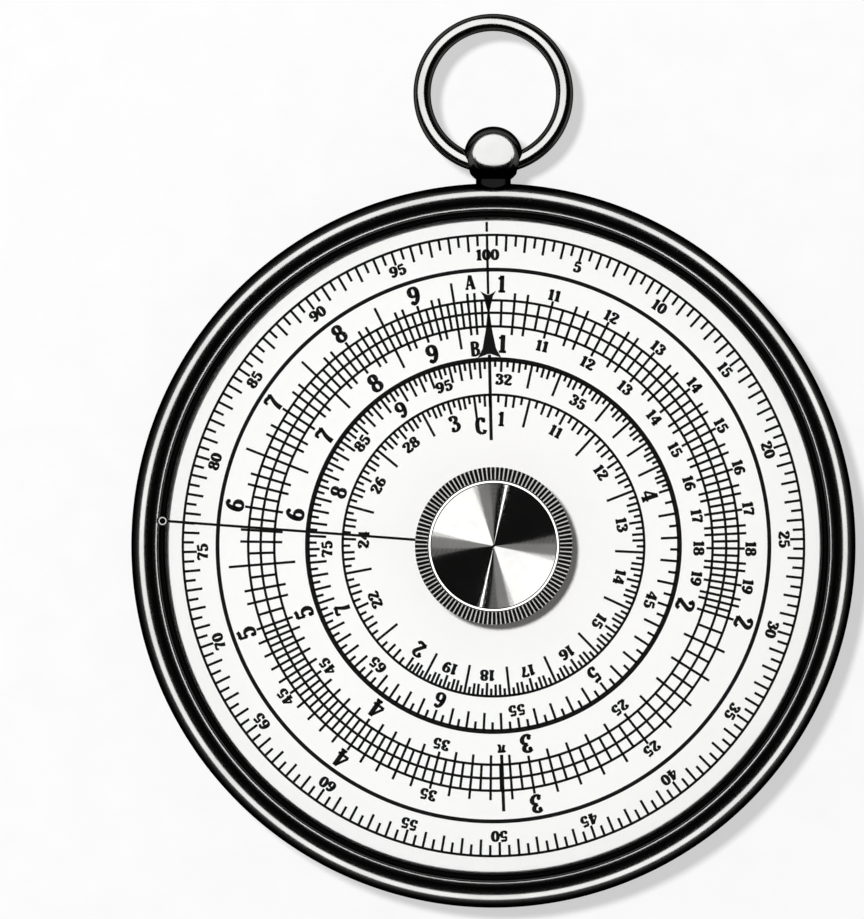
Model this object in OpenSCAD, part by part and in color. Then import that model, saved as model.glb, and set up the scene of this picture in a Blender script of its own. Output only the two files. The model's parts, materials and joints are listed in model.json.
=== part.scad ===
// Circular slide rule in a pocket-watch case, dial up.
// Millimetres. +Z is the dial axis, out of the front dial, and +Y points at the bow ring.
// The origin is the centre of the back knob's flat face, on which the instrument lies.

/* [Case] */
// Diameter of the case band
case_d = 66; // [62:0.5:76]
// Width of the flat round the middle of the band
band_flat_w = 2.1; // [1.2:0.1:2.8]
// Radius of the arc of the band's rounded flanks
flank_round = 3; // [2.8:0.1:5]
// Radial width of a flank, from the bezel to the edge of the case
flank_w = 2.4; // [2.2:0.1:3.4]
// Width of the flat land beside a bezel
flank_land = 0.2; // [0.1:0.05:0.4]
// Thickness of the shoulder and of the clamp ring that hold the fixed dial
shoulder_t = 0.4; // [0.3:0.05:0.7]

/* [Dials] */
// Thickness of the two metal dial plates
plate_t = 0.9; // [0.6:0.05:1.4]
// Thickness of a printed dial card
card_t = 0.25; // [0.15:0.05:0.4]
// Diameter of the revolving dial
revolving_d = 42.2; // [36:0.2:46]
// Width of the gap between the revolving and the fixed dial
dial_gap = 0.15; // [0.1:0.01:0.3]

/* [Bezels and glasses] */
// Width of a bezel, seen from the front
bezel_w = 0.9; // [0.7:0.05:1.3]
// Height of a bezel above the band's land
bezel_rise = 0.6; // [0.3:0.05:0.9]
// Height of the bezel's lip over the glass, below its half-round bead
lip_h = 0.2; // [0.1:0.05:0.5]
// Wall of the bezel's skirt inside the case
skirt_t = 0.42; // [0.36:0.02:0.6]
// Length of the skirt below the ring that holds the glass
skirt_hem = 0.1; // [0.05:0.05:0.3]
// Thickness of a glass
glass_t = 1.1; // [0.8:0.1:1.6]
// Thickness of the ring that holds a glass in its bezel
glass_ring_t = 0.4; // [0.3:0.05:0.6]
// Wire diameter of the snap ring that keeps a bezel in the case
snap_wire_d = 0.4; // [0.3:0.02:0.5]
// Angle left open in a snap ring
snap_open = 8; // [4:1:20]

/* [Cursors] */
// Angle of the hairlines and nibs at rest, from +X
cursor_angle = 175.7; // [0:0.1:360]
// Width of a hairline
hairline_w = 0.24; // [0.1:0.02:0.3]
// Depth of the groove that a hairline fills
hairline_t = 0.08; // [0.05:0.01:0.15]
// Diameter of a nib's round head
nib_d = 1.1; // [0.9:0.05:1.4]
// Height of a nib above its bezel
nib_h = 0.6; // [0.56:0.02:0.9]
// Diameter of a nib's shank in the bezel
nib_shank_d = 0.4; // [0.3:0.02:0.46]

/* [Hub and knobs] */
// Diameter of the hub where it turns in the glasses
bearing_d = 6; // [4.5:0.1:7]
// Step from the bearing out to the seat of the revolving plate
seat_step = 0.95; // [0.5:0.05:1.4]
// Width of the hub's flange and of its nut beyond the seat
flange_w = 2; // [1:0.1:3]
// Diameter of the studs that the knobs screw on
stud_d = 3; // [2:0.1:4]
// Width of the two spanner slots in the hub nut
nut_slot_w = 0.8; // [0.5:0.1:1.2]
// Depth of the spanner slots
nut_slot_t = 0.3; // [0.15:0.05:0.4]
// Diameter of a knob
knob_d = 14.3; // [13:0.1:17]
// Height of a knob above the bezel
knob_rise = 1; // [0.8:0.1:2]
// Height of a knob's plain edge below its bevel
knob_edge_h = 0.4; // [0.2:0.05:0.6]
// Metal left between the stud hole and the knob's face
knob_cap_t = 0.5; // [0.3:0.05:0.7]
// Width of a knob's milled bevel, seen from the front
bevel_w = 1.25; // [1:0.05:1.6]
// Width of the turned groove between the face and the bevel
face_groove_w = 0.18; // [0.1:0.02:0.3]
// Depth of that groove
face_groove_t = 0.14; // [0.05:0.01:0.2]
// Width of the plain lip between the turned groove and the milled grooves
knurl_lip = 0.16; // [0.14:0.02:0.3]
// Number of milled grooves round a knob
knurl_n = 108; // [60:1:120]
// Width of a milled groove at the surface
knurl_w = 0.22; // [0.12:0.01:0.26]
// Depth of a milled groove
knurl_t = 0.16; // [0.08:0.01:0.24]
// Thickness of the felt washer under a knob
washer_t = 0.2; // [0.15:0.05:0.5]
// Width of the felt washer
washer_w = 2.6; // [1.5:0.1:3]

/* [Pendant and bow] */
// Diameter of the pendant's ball
ball_d = 5.6; // [5:0.1:6.6]
// Diameter of the neck under the ball
neck_d = 3.2; // [2.6:0.1:3.6]
// Length of neck that shows between the band and the ball
neck_h = 0.14; // [0.1:0.02:1]
// Depth of the flat seat cut in the band for the neck
seat_depth = 0.5; // [0.4:0.05:0.8]
// Diameter of the pendant's screw stem
stem_d = 1.8; // [1.2:0.1:2.2]
// Metal left between the stem's hole and the inside of the band
stem_floor = 0.55; // [0.3:0.05:0.9]
// Distance of the bow's hole below the centre of the ball
hole_drop = 0.4; // [0:0.05:0.7]
// Wire diameter of the bow ring
bow_wire_d = 1.6; // [1.2:0.05:1.8]
// Diameter of the bow ring at the middle of its wire
bow_d = 13; // [11:0.1:18]

/* [Fits] */
// Radial clearance of a bezel in the band and of the hub in a glass
run_fit = 0.05; // [0.02:0.01:0.08]
// Radial clearance of pieces that are fastened together
seat_fit = 0.03; // [0.01:0.01:0.05]
// Clearance along the axis between turning and fixed pieces
axial_fit = 0.1; // [0.05:0.01:0.2]
// Clearance on each side of a felt washer
washer_fit = 0.02; // [0.01:0.01:0.04]
// Clearance between a bezel's groove and its snap ring
snap_fit = 0.05; // [0.03:0.01:0.08]
// Clearance between the bow ring and its hole
bow_fit = 0.06; // [0.04:0.01:0.1]

/* [Hidden] */
$fn = 180;

// Heights above the middle plane, from the dial plates outwards
plate_z = plate_t / 2;
card_z = plate_z + card_t;
shoulder_z = plate_z + shoulder_t;
skirt_z = shoulder_z + axial_fit;
glass_ring_z = skirt_z + skirt_hem;
glass_z = glass_ring_z + glass_ring_t;
lip_z = glass_z + glass_t;
bead_z = lip_z + lip_h;
bezel_z = bead_z + bezel_w / 2;
land_z = bezel_z - bezel_rise;
knob_z = lip_z + washer_t + 2 * washer_fit;
knob_face_z = bezel_z + knob_rise;
flange_z = glass_z - axial_fit;
stud_z = knob_face_z - knob_cap_t;
snap_z = (skirt_z + lip_z) / 2;

// Radii, from the edge of the case inwards
case_r = case_d / 2;
bezel_r = case_r - flank_w;
bore_r = bezel_r + run_fit;
land_r = bore_r + flank_land;
bezel_in_r = bezel_r - bezel_w;
bezel_mid_r = bezel_r - bezel_w / 2;
skirt_in_r = bezel_r - skirt_t;
glass_r = skirt_in_r - seat_fit;
shoulder_in_r = bezel_in_r + run_fit;
card_r = shoulder_in_r - seat_fit;
plate_r = bore_r - seat_fit;
snap_mid_r = bezel_r + run_fit / 2;
revolving_r = revolving_d / 2;
fixed_in_r = revolving_r + dial_gap;

// The arc of a flank runs from the band's flat to the land beside the bezel
flank_dr = case_r - land_r;
flank_dz = land_z - band_flat_w / 2;
flank_chord = norm([flank_dr, flank_dz]);
flank_reach = sqrt(pow(flank_round, 2) - pow(flank_chord / 2, 2));
flank_mid_r = (case_r + land_r) / 2 - flank_reach * flank_dz / flank_chord;
flank_mid_z = (band_flat_w / 2 + land_z) / 2 - flank_reach * flank_dr / flank_chord;

// Hub and knob
bearing_r = bearing_d / 2;
seat_r = bearing_r + seat_step;
flange_r = seat_r + flange_w;
stud_r = stud_d / 2;
knob_r = knob_d / 2;
bevel_in_r = knob_r - bevel_w;
face_r = bevel_in_r - face_groove_w;
bevel_top_z = knob_face_z - face_groove_t / 2;
bevel_low_z = knob_z + knob_edge_h;
bevel_slope = atan2(bevel_top_z - bevel_low_z, bevel_w);
bevel_length = norm([bevel_w, bevel_top_z - bevel_low_z]);
knurl_r = bevel_in_r + knurl_lip;
knurl_z = bevel_top_z - knurl_lip * tan(bevel_slope);
knob_foot_chamfer = knob_edge_h / 3;

// Nib
nib_r = nib_d / 2;
nib_foot_z = bezel_z - bezel_rise / 2;
nib_dome_z = bezel_z + nib_h - nib_r;

// Pendant: the ball is turned in one with its neck and stem
ball_r = ball_d / 2;
neck_r = neck_d / 2;
stem_r = stem_d / 2;
seat_y = case_r - seat_depth;
ball_y = case_r + neck_h + sqrt(pow(ball_r, 2) - pow(neck_r, 2));
stem_y = bore_r + stem_floor;

// Bow: the hole lets the curved wire turn about the hole's own axis
bow_r = bow_d / 2;
bow_wire_r = bow_wire_d / 2;
bow_sag = bow_r - sqrt(pow(bow_r, 2) - pow(ball_r, 2));
bow_hole_r = bow_wire_r + bow_sag / 2 + bow_fit;
bow_hole_y = ball_y - hole_drop;
bow_y = bow_hole_y + bow_r - bow_sag / 2;

// How far a cutting shape runs past what it cuts
past = 1;

nickel = [0.31, 0.31, 0.3];
turned_nickel = [0.41, 0.41, 0.4];
steel = [0.55, 0.56, 0.58];
brass = [0.76, 0.62, 0.33];
card = [0.96, 0.95, 0.91];
clear = [0.85, 0.92, 0.93, 0.35];
ink = [0.06, 0.06, 0.06];
felt = [0.35, 0.1, 0.1];

// Places a shape that was drawn above the middle plane
module front() {
    translate([0, 0, knob_face_z])
        children();
}

// The same shape below the middle plane
module back() {
    translate([0, 0, knob_face_z])
        mirror([0, 0, 1])
            children();
}

// Points along the cursor's radius
module at_cursor(r) {
    rotate([0, 0, cursor_angle])
        translate([r, 0, 0])
            children();
}

// A flat ring between two radii and two heights
module flat_ring(inner_r, outer_r, low_z, high_z) {
    rotate_extrude()
        translate([inner_r, low_z])
            square([outer_r - inner_r, high_z - low_z]);
}

// Half of a turned shape's section, between two heights, out to a radius
module section(r, low_z, high_z) {
    translate([0, low_z])
        square([r, high_z - low_z]);
}

module flank_disc(z) {
    translate([flank_mid_r, z])
        circle(r = flank_round);
}

module band_section() {
    difference() {
        intersection() {
            flank_disc(flank_mid_z);
            flank_disc(-flank_mid_z);
            translate([shoulder_in_r, -land_z])
                square([case_r - shoulder_in_r, 2 * land_z]);
        }
        section(bore_r, -plate_z, land_z + past);
        section(bore_r, -land_z - past, -shoulder_z);
        for (side = [-1, 1])
            translate([snap_mid_r, side * snap_z])
                circle(d = snap_wire_d + 2 * seat_fit);
    }
}

// Turns a shape's axis from +Z to +Y
module along_y() {
    rotate([-90, 0, 0])
        children();
}

module case_band() {
    color(nickel)
        front()
            difference() {
                rotate_extrude()
                    band_section();
                along_y()
                    translate([0, 0, seat_y])
                        cylinder(r = neck_r + seat_fit, h = seat_depth + past);
                along_y()
                    translate([0, 0, stem_y])
                        cylinder(r = stem_r + seat_fit, h = seat_depth + flank_w);
            }
}

module fixed_dial_plate() {
    color(brass)
        front()
            flat_ring(fixed_in_r, plate_r, -plate_z, plate_z);
}

module dial_clamp_ring() {
    color(nickel)
        front()
            flat_ring(shoulder_in_r, plate_r, plate_z, shoulder_z);
}

module fixed_dial_shape() {
    flat_ring(fixed_in_r, card_r, plate_z, card_z);
}

module front_fixed_dial() {
    color(card)
        front()
            fixed_dial_shape();
}

module back_fixed_dial() {
    color(card)
        back()
            fixed_dial_shape();
}

module snap_ring_shape() {
    rotate([0, 0, snap_open / 2 - 90])
        rotate_extrude(angle = 360 - snap_open)
            translate([snap_mid_r, snap_z])
                circle(d = snap_wire_d);
}

module front_snap_ring() {
    color(steel)
        front()
            snap_ring_shape();
}

module back_snap_ring() {
    color(steel)
        back()
            snap_ring_shape();
}

module ball_section() {
    intersection() {
        union() {
            translate([0, ball_y])
                circle(r = ball_r);
            section(neck_r, seat_y, ball_y);
        }
        section(ball_r + past, seat_y, ball_y + ball_r + past);
    }
}

module pendant() {
    color(nickel)
        front()
            difference() {
                along_y()
                    rotate_extrude() {
                        ball_section();
                        section(stem_r, stem_y + seat_fit, seat_y + past / 2);
                    }
                translate([0, bow_hole_y, 0])
                    rotate([0, 90, 0])
                        cylinder(r = bow_hole_r, h = ball_d + 2 * past, center = true);
            }
}

module revolving_plate() {
    color(brass)
        front()
            flat_ring(seat_r + seat_fit, revolving_r, -plate_z, plate_z);
}

module revolving_dial_shape() {
    flat_ring(seat_r + seat_fit, revolving_r, plate_z, card_z);
}

module front_revolving_dial() {
    color(card)
        front()
            revolving_dial_shape();
}

module back_revolving_dial() {
    color(card)
        back()
            revolving_dial_shape();
}

module hub() {
    color(brass)
        front()
            rotate_extrude() {
                section(stud_r, -stud_z, stud_z);
                section(bearing_r, -knob_z, knob_z);
                section(seat_r, -card_z, flange_z);
                section(flange_r, -flange_z, -card_z);
            }
}

module hub_nut() {
    color(brass)
        front()
            difference() {
                flat_ring(seat_r + seat_fit, flange_r, card_z, flange_z);
                translate([-flange_r - past, -nut_slot_w / 2, flange_z - nut_slot_t])
                    cube([2 * (flange_r + past), nut_slot_w, nut_slot_t + past]);
            }
}

// One milled groove down the bevel: a V-section prism sunk to its depth
module knurl_groove() {
    translate([knurl_r, 0, knurl_z])
        rotate([0, 90 + bevel_slope, 0])
            linear_extrude(height = bevel_length + past)
                polygon([
                    [knurl_t, 0],
                    [-knurl_t, knurl_w],
                    [-knurl_t, -knurl_w]
                ]);
}

module knob_blank() {
    rotate_extrude()
        polygon([
            [stud_r + seat_fit, knob_z],
            [knob_r - knob_foot_chamfer, knob_z],
            [knob_r, knob_z + knob_foot_chamfer],
            [knob_r, bevel_low_z],
            [bevel_in_r, bevel_top_z],
            [bevel_in_r, knob_face_z - face_groove_t],
            [face_r, knob_face_z - face_groove_t],
            [face_r, knob_face_z],
            [0, knob_face_z],
            [0, stud_z + seat_fit],
            [stud_r + seat_fit, stud_z + seat_fit]
        ]);
}

module knob_shape() {
    difference() {
        knob_blank();
        for (i = [0 : knurl_n - 1])
            rotate([0, 0, i * 360 / knurl_n])
                knurl_groove();
    }
}

module front_knob() {
    color(turned_nickel)
        front()
            knob_shape();
}

module back_knob() {
    color(turned_nickel)
        back()
            knob_shape();
}

module knob_washer_shape() {
    washer_in_r = bearing_r + run_fit;
    flat_ring(washer_in_r, washer_in_r + washer_w, lip_z + washer_fit, knob_z - washer_fit);
}

module front_knob_washer() {
    color(felt)
        front()
            knob_washer_shape();
}

module back_knob_washer() {
    color(felt)
        back()
            knob_washer_shape();
}

module bead_section() {
    translate([bezel_in_r, lip_z])
        square([bezel_w, lip_h]);
    intersection() {
        translate([bezel_mid_r, bead_z])
            circle(d = bezel_w);
        translate([bezel_in_r, bead_z])
            square(bezel_w);
    }
}

module bezel_section() {
    difference() {
        union() {
            bead_section();
            translate([skirt_in_r, skirt_z])
                square([skirt_t, lip_z - skirt_z]);
        }
        translate([snap_mid_r, snap_z])
            circle(d = snap_wire_d + 2 * snap_fit);
    }
}

module bezel_shape() {
    difference() {
        rotate_extrude()
            bezel_section();
        at_cursor(bezel_mid_r)
            translate([0, 0, lip_z - past / 4])
                cylinder(d = nib_shank_d + 2 * seat_fit, h = bezel_z - lip_z + past);
    }
}

module front_bezel() {
    color(nickel)
        front()
            bezel_shape();
}

module back_bezel() {
    color(nickel)
        back()
            bezel_shape();
}

// The hairline lies in the glass's inner face, from under the knob to the edge
module hairline_shape() {
    inner_r = bearing_r + seat_step;
    at_cursor(inner_r)
        translate([0, -hairline_w / 2, glass_z])
            cube([bezel_in_r - inner_r, hairline_w, hairline_t]);
}

module glass_shape() {
    difference() {
        flat_ring(bearing_r + run_fit, glass_r, glass_z, lip_z);
        hairline_shape();
    }
}

module front_glass() {
    color(clear)
        front()
            glass_shape();
}

module back_glass() {
    color(clear)
        back()
            glass_shape();
}

module glass_ring_shape() {
    flat_ring(shoulder_in_r, glass_r, glass_ring_z, glass_z);
}

module front_glass_ring() {
    color(steel)
        front()
            glass_ring_shape();
}

module back_glass_ring() {
    color(steel)
        back()
            glass_ring_shape();
}

module front_hairline() {
    color(ink)
        front()
            hairline_shape();
}

module back_hairline() {
    color(ink)
        back()
            hairline_shape();
}

module nib_head() {
    rotate_extrude() {
        section(nib_r, nib_foot_z, nib_dome_z);
        translate([0, nib_dome_z])
            intersection() {
                circle(r = nib_r);
                square(nib_r);
            }
    }
}

// The head straddles the bezel's bead, and the shank is riveted through it
module nib_shape() {
    difference() {
        at_cursor(bezel_mid_r)
            nib_head();
        rotate_extrude()
            bead_section();
    }
    at_cursor(bezel_mid_r)
        translate([0, 0, lip_z])
            cylinder(d = nib_shank_d, h = bezel_z - lip_z + nib_h / 2);
}

module front_nib() {
    color(nickel)
        front()
            nib_shape();
}

module back_nib() {
    color(nickel)
        back()
            nib_shape();
}

module bow_ring() {
    color(nickel)
        front()
            translate([0, bow_y, 0])
                rotate_extrude()
                    translate([bow_r, 0])
                        circle(r = bow_wire_r);
}

case_band();
fixed_dial_plate();
dial_clamp_ring();
front_fixed_dial();
back_fixed_dial();
front_snap_ring();
back_snap_ring();
pendant();
revolving_plate();
front_revolving_dial();
back_revolving_dial();
hub();
hub_nut();
front_knob();
back_knob();
front_knob_washer();
back_knob_washer();
front_bezel();
front_glass();
front_glass_ring();
front_hairline();
front_nib();
back_bezel();
back_glass();
back_glass_ring();
back_hairline();
back_nib();
bow_ring();
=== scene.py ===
"""Looks of a circular slide rule in a pocket-watch case, lying dial up and seen from straight above.

Lengths are millimetres, and heights are above the middle plane of the case, until place_piece() takes a
shape to metres in the shared frame: +Z is the dial axis, and +Y points at the bow ring.
"""
import json
import math

import bmesh
import bpy
from mathutils import Matrix, Vector


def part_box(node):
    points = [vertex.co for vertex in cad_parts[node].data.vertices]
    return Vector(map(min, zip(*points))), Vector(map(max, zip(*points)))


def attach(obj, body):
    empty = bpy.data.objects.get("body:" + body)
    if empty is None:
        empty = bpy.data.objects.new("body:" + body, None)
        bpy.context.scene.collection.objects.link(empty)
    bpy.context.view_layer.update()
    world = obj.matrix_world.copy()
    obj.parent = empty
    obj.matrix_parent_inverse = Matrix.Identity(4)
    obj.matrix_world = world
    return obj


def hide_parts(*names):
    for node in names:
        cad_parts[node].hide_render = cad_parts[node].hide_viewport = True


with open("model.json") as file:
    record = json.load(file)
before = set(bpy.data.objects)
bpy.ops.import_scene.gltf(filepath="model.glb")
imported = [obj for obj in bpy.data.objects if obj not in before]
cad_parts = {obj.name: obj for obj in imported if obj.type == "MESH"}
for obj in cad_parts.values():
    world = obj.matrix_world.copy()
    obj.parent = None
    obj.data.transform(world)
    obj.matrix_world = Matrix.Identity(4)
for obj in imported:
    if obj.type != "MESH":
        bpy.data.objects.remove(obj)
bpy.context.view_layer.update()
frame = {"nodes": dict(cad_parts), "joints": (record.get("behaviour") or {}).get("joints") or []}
scene = bpy.context.scene

MM = 0.001


# Sizes read from the solids

MIDDLE = sum(corner.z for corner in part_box("case_band")) / 2 / MM


def outer_radius(node):
    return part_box(node)[1].x / MM


def top_of(node):
    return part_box(node)[1].z / MM - MIDDLE


def foot_of(node):
    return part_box(node)[0].z / MM - MIDDLE


def centre_of(node):
    low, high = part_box(node)
    return (low + high) / 2 / MM


CASE_R = outer_radius("case_band")
LAND_Z = top_of("case_band")
PLATE_Z = top_of("fixed_dial_plate")
SHOULDER_Z = top_of("dial_clamp_ring")
CARD_Z = top_of("front_fixed_dial")
REVOLVING_R = outer_radius("front_revolving_dial")
BEZEL_R = outer_radius("front_bezel")
BEZEL_Z = top_of("front_bezel")
SKIRT_Z = foot_of("front_bezel")
GLASS_R = outer_radius("front_glass")
GLASS_Z = top_of("front_glass")
KNOB_R = outer_radius("front_knob")
KNOB_Z = foot_of("front_knob")
FACE_Z = top_of("front_knob")
HUB_Z = top_of("hub")
BOW_R = outer_radius("bow_ring")
BOW_WIRE_R = top_of("bow_ring")
BOW_Y = centre_of("bow_ring").y
# The bow's hole cuts the ball's sides away, so this is 0.11 less than the radius of the solid's ball
BALL_R = outer_radius("pendant")
BALL_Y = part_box("pendant")[1].y / MM - BALL_R
STEM_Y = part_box("pendant")[0].y / MM
BOW_HOLE_Y = next(joint["pos_m"][1] for joint in frame["joints"] if joint["name"] == "bow_swing") / MM

# Sizes of the turned metal that a box doesn't show

RUN_FIT = 0.05
SEAT_FIT = 0.03
BAND_FLAT = 2.1
FLANK_ROUND = 3
FLANK_LAND = 0.2
BEZEL_W = 0.9
SNAP_WIRE_R = 0.2
SNAP_FIT = 0.05
DIAL_GAP = 0.15
NIB_R = 0.55
NIB_FOOT_IN = 0.033
NIB_FOOT_RISE = 0.05
STUD_R = 1.5
KNOB_EDGE = 0.4
BEVEL_W = 1.25
RIM_GROOVE_W = 0.11
RIM_GROOVE_T = 0.36
RIM_W = 0.15
RIM_SLOPE = math.radians(35)
FACE_GROOVE_W = 0.09
FACE_GROOVE_T = 0.07
FACE_RINGS = 48
FACE_RING_SLOPE = math.radians(6)
FACE_TIP_R = 0.12
KNURL_T = 0.16
KNURL_COUNT = 108
NECK_R = 1.6
SEAT_DEPTH = 0.5
STEM_R = 0.9
BOW_HOLE_R = 1.177

# Sizes of the print, and the angle by which it was set off the pendant, counter-clockwise

PRINT_TURN = math.radians(1.2)
INK_T = 0.012
INK_SUNK = 0.003
LINE_W = 0.235
INDEX_W = 0.3
FIXED_RING_W = 0.36
HEAVY_RING_W = 0.44
# How far in from the fixed card's edge its circle lies, so that it also covers the gap between the cards
# with painted shade
EDGE_LINE_OVER = 0.04
SMALL_FIGURE = 0.99
LARGE_FIGURE = 1.7
ROOT_FIGURE = 1.49
LETTER, ROOT_LETTER = 1.33, 1.55
CUBE_SMALL_IN, CUBE_LARGE_IN = 1.79, 2.03

# Radii of the print's circles, of the middles of its figures, and of the ends of its index lines

EQUAL_PARTS_R = 28.3
EQUAL_FIGURE_R = 26.5
FIXED_RING_R = 25.14
FIXED_SMALL_R, FIXED_LARGE_R = 23.46, 23.86
FIXED_GRID_R = 22.34
REVOLVING_GRID_R = 19.97
REVOLVING_SMALL_R, REVOLVING_LARGE_R = 18.72, 18.3
PI_R = 18.65
HEAVY_RING_R = 16.95
HIGH_ROOT_SMALL_R, HIGH_ROOT_LARGE_R = 15.16, 14.92
ROOT_RING_R = 13.74
LOW_ROOT_SMALL_R, LOW_ROOT_LARGE_R = 11.85, 11.64
CUBE_RING_R = 10.75
OUTER_MARK_START_R, OUTER_MARK_END_R = 28.6, 29.5
FIXED_INDEX_END_R = 22.9
REVOLVING_INDEX_START_R = 17.4
FRONT_INDEX_END_R, BACK_INDEX_END_R = 9.6, 8.3


# Building shapes

# Points closer than these are merged: in a turned shape, in a cut one, and in a figure 1 high
TURNED_MERGE, CUT_MERGE, FIGURE_MERGE = 1e-5, 1e-3, 1e-4


def arc(centre, radius, start, stop, count):
    """Points of an arc in a section, with angles in degrees from the outward direction."""
    steps = [math.radians(start + (stop - start) * i / count) for i in range(count + 1)]
    return [(centre[0] + radius * math.cos(a), centre[1] + radius * math.sin(a)) for a in steps]


def turned(outline, steps):
    """A closed section of (radius, height) points, turned about the dial axis."""
    bm = bmesh.new()
    line = [bm.verts.new((r, 0, z)) for r, z in outline]
    pairs = zip(line, line[1:] + line[:1])
    edges = [bm.edges.new(pair) for pair in pairs if pair[0].co.x > 0 or pair[1].co.x > 0]
    bmesh.ops.spin(
        bm, geom=line + edges, cent=(0, 0, 0), axis=(0, 0, 1), angle=math.tau, steps=steps, use_merge=True
    )
    bmesh.ops.remove_doubles(bm, verts=bm.verts, dist=TURNED_MERGE)
    bmesh.ops.recalc_face_normals(bm, faces=bm.faces)
    return bm


def rod(radius, length, place):
    """A plain round rod, for cutting bores."""
    bm = bmesh.new()
    bmesh.ops.create_cone(
        bm, cap_ends=True, segments=64, radius1=radius, radius2=radius, depth=length, matrix=place
    )
    return bm


def new_object(name, bm):
    mesh = bpy.data.meshes.new(name)
    bm.to_mesh(mesh)
    bm.free()
    made = bpy.data.objects.new(name, mesh)
    scene.collection.objects.link(made)
    return made


def bored(bm, drill):
    """The shape in bm with the shape in drill cut away."""
    blank, tool = new_object("blank", bm), new_object("drill", drill)
    cut = blank.modifiers.new("bore", "BOOLEAN")
    cut.operation = "DIFFERENCE"
    cut.object = tool
    result = bmesh.new()
    result.from_mesh(blank.evaluated_get(bpy.context.evaluated_depsgraph_get()).to_mesh())
    for used in (blank, tool):
        mesh = used.data
        bpy.data.objects.remove(used)
        bpy.data.meshes.remove(mesh)
    bmesh.ops.remove_doubles(result, verts=result.verts, dist=CUT_MERGE)
    bmesh.ops.dissolve_degenerate(result, edges=result.edges, dist=CUT_MERGE)
    return result


FRONT = Matrix.Translation((0, 0, MIDDLE * MM)) @ Matrix.Scale(MM, 4)
BACK = FRONT @ Matrix.Rotation(math.pi, 4, "Y")
SIDES = {"front": FRONT, "back": BACK}


def place_piece(name, bm, place, body, finish, replaced=(), crease=30):
    """Takes a shape to its place in the shared frame and lets it ride on its body.

    Edges that turn by more than the crease, in degrees, stay sharp.
    """
    bm.transform(place)
    made = new_object(name, bm)
    made.data.materials.append(finish)
    made.data.shade_smooth()
    made.data.set_sharp_from_angle(angle=math.radians(crease))
    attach(made, body)
    if replaced:
        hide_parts(*replaced)
    return made


# Finishes

# Painted shade: where it lies on the case's outer flanks, the ball's lower part, and the knobs' bevels and
# milled grooves, and how it looks
FLANK_PAINTED_SHADE = 0.85
FLANK_SHADE_FROM, FLANK_SHADE_FULL = CASE_R - 0.7, CASE_R - 0.5
FLANK_SHADE_FADE = 0.1
BALL_SHADE_FROM, BALL_SHADE_FULL = 0.3, 0.5
LAND_PAINTED_SHADE = 0.42
PAINTED_SHADE_COLOUR = (0.001, 0.001, 0.001, 1)
POLISHED_SHADE_ROUGH, GROOVE_SHADE_ROUGH = 0.16, 0.6
EDGE_TINT = 0.15


def new_finish(name):
    finish = bpy.data.materials.new(name)
    finish.use_nodes = True
    return finish, finish.node_tree, finish.node_tree.nodes["Principled BSDF"]


def add_node(tree, kind, sockets=None, **settings):
    made = tree.nodes.new(kind)
    for key, value in settings.items():
        setattr(made, key, value)
    for key, value in (sockets or {}).items():
        made.inputs[key].default_value = value
    return made


def object_place(tree):
    return add_node(tree, "ShaderNodeTexCoord").outputs["Object"]


def noise(tree, size, detail, roughness=0.55):
    """A noise with features of about this size in millimetres."""
    made = add_node(
        tree, "ShaderNodeTexNoise", {"Scale": 1 / (size * MM), "Detail": detail, "Roughness": roughness}
    )
    tree.links.new(object_place(tree), made.inputs["Vector"])
    return made.outputs["Fac"]


def spread(tree, value, low, high, start=0.3, stop=0.7):
    """Maps a value between start and stop, where most of a noise lies, to the range from low to high."""
    made = add_node(
        tree,
        "ShaderNodeMapRange",
        {"From Min": start, "From Max": stop, "To Min": low, "To Max": high},
    )
    tree.links.new(value, made.inputs["Value"])
    return made.outputs["Result"]


def between(tree, share, first, second):
    """A colour between two, by a share from 0 to 1."""
    made = add_node(tree, "ShaderNodeMix", data_type="RGBA")
    made.inputs["A"].default_value = (*first, 1)
    made.inputs["B"].default_value = (*second, 1)
    tree.links.new(share, made.inputs["Factor"])
    return made.outputs["Result"]


def relief(tree, shader, height, strength, depth):
    """Bump of this depth in millimetres."""
    made = add_node(tree, "ShaderNodeBump", {"Strength": strength, "Distance": depth * MM})
    tree.links.new(height, made.inputs["Height"])
    tree.links.new(made.outputs["Normal"], shader.inputs["Normal"])


def grimy(tree, shader, bare, polish, shade_rough):
    """Paints dark shade, with a roughness of its own, on a metal of this colour and roughness, where the
    mesh's attribute for painted shade says so.
    """
    painted_shade = add_node(tree, "ShaderNodeAttribute", attribute_name="painted_shade").outputs["Fac"]
    for kind, unpainted, shade_value, socket in (
        ("RGBA", bare, PAINTED_SHADE_COLOUR, "Base Color"),
        ("FLOAT", polish, shade_rough, "Roughness"),
    ):
        blend = add_node(tree, "ShaderNodeMix", data_type=kind)
        blend.inputs["B"].default_value = shade_value
        tree.links.new(unpainted, blend.inputs["A"])
        tree.links.new(painted_shade, blend.inputs["Factor"])
        tree.links.new(blend.outputs["Result"], shader.inputs[socket])


def polished_metal(name, bright, dull, smooth, worn):
    """Polished plate with faint clouds of tarnish and hair scratches, and painted shade where the mesh's
    attribute for it says so.
    """
    finish, tree, shader = new_finish(name)
    shader.inputs["Metallic"].default_value = 1
    shader.inputs["Specular Tint"].default_value = (EDGE_TINT, EDGE_TINT, EDGE_TINT, 1)
    clouds = noise(tree, size=5, detail=4)
    hairs = noise(tree, size=0.12, detail=2)
    bare = between(tree, spread(tree, clouds, 0, 1), bright, dull)
    grimy(tree, shader, bare, spread(tree, hairs, smooth, worn), POLISHED_SHADE_ROUGH)
    relief(tree, shader, hairs, strength=0.06, depth=0.004)
    return finish


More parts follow.
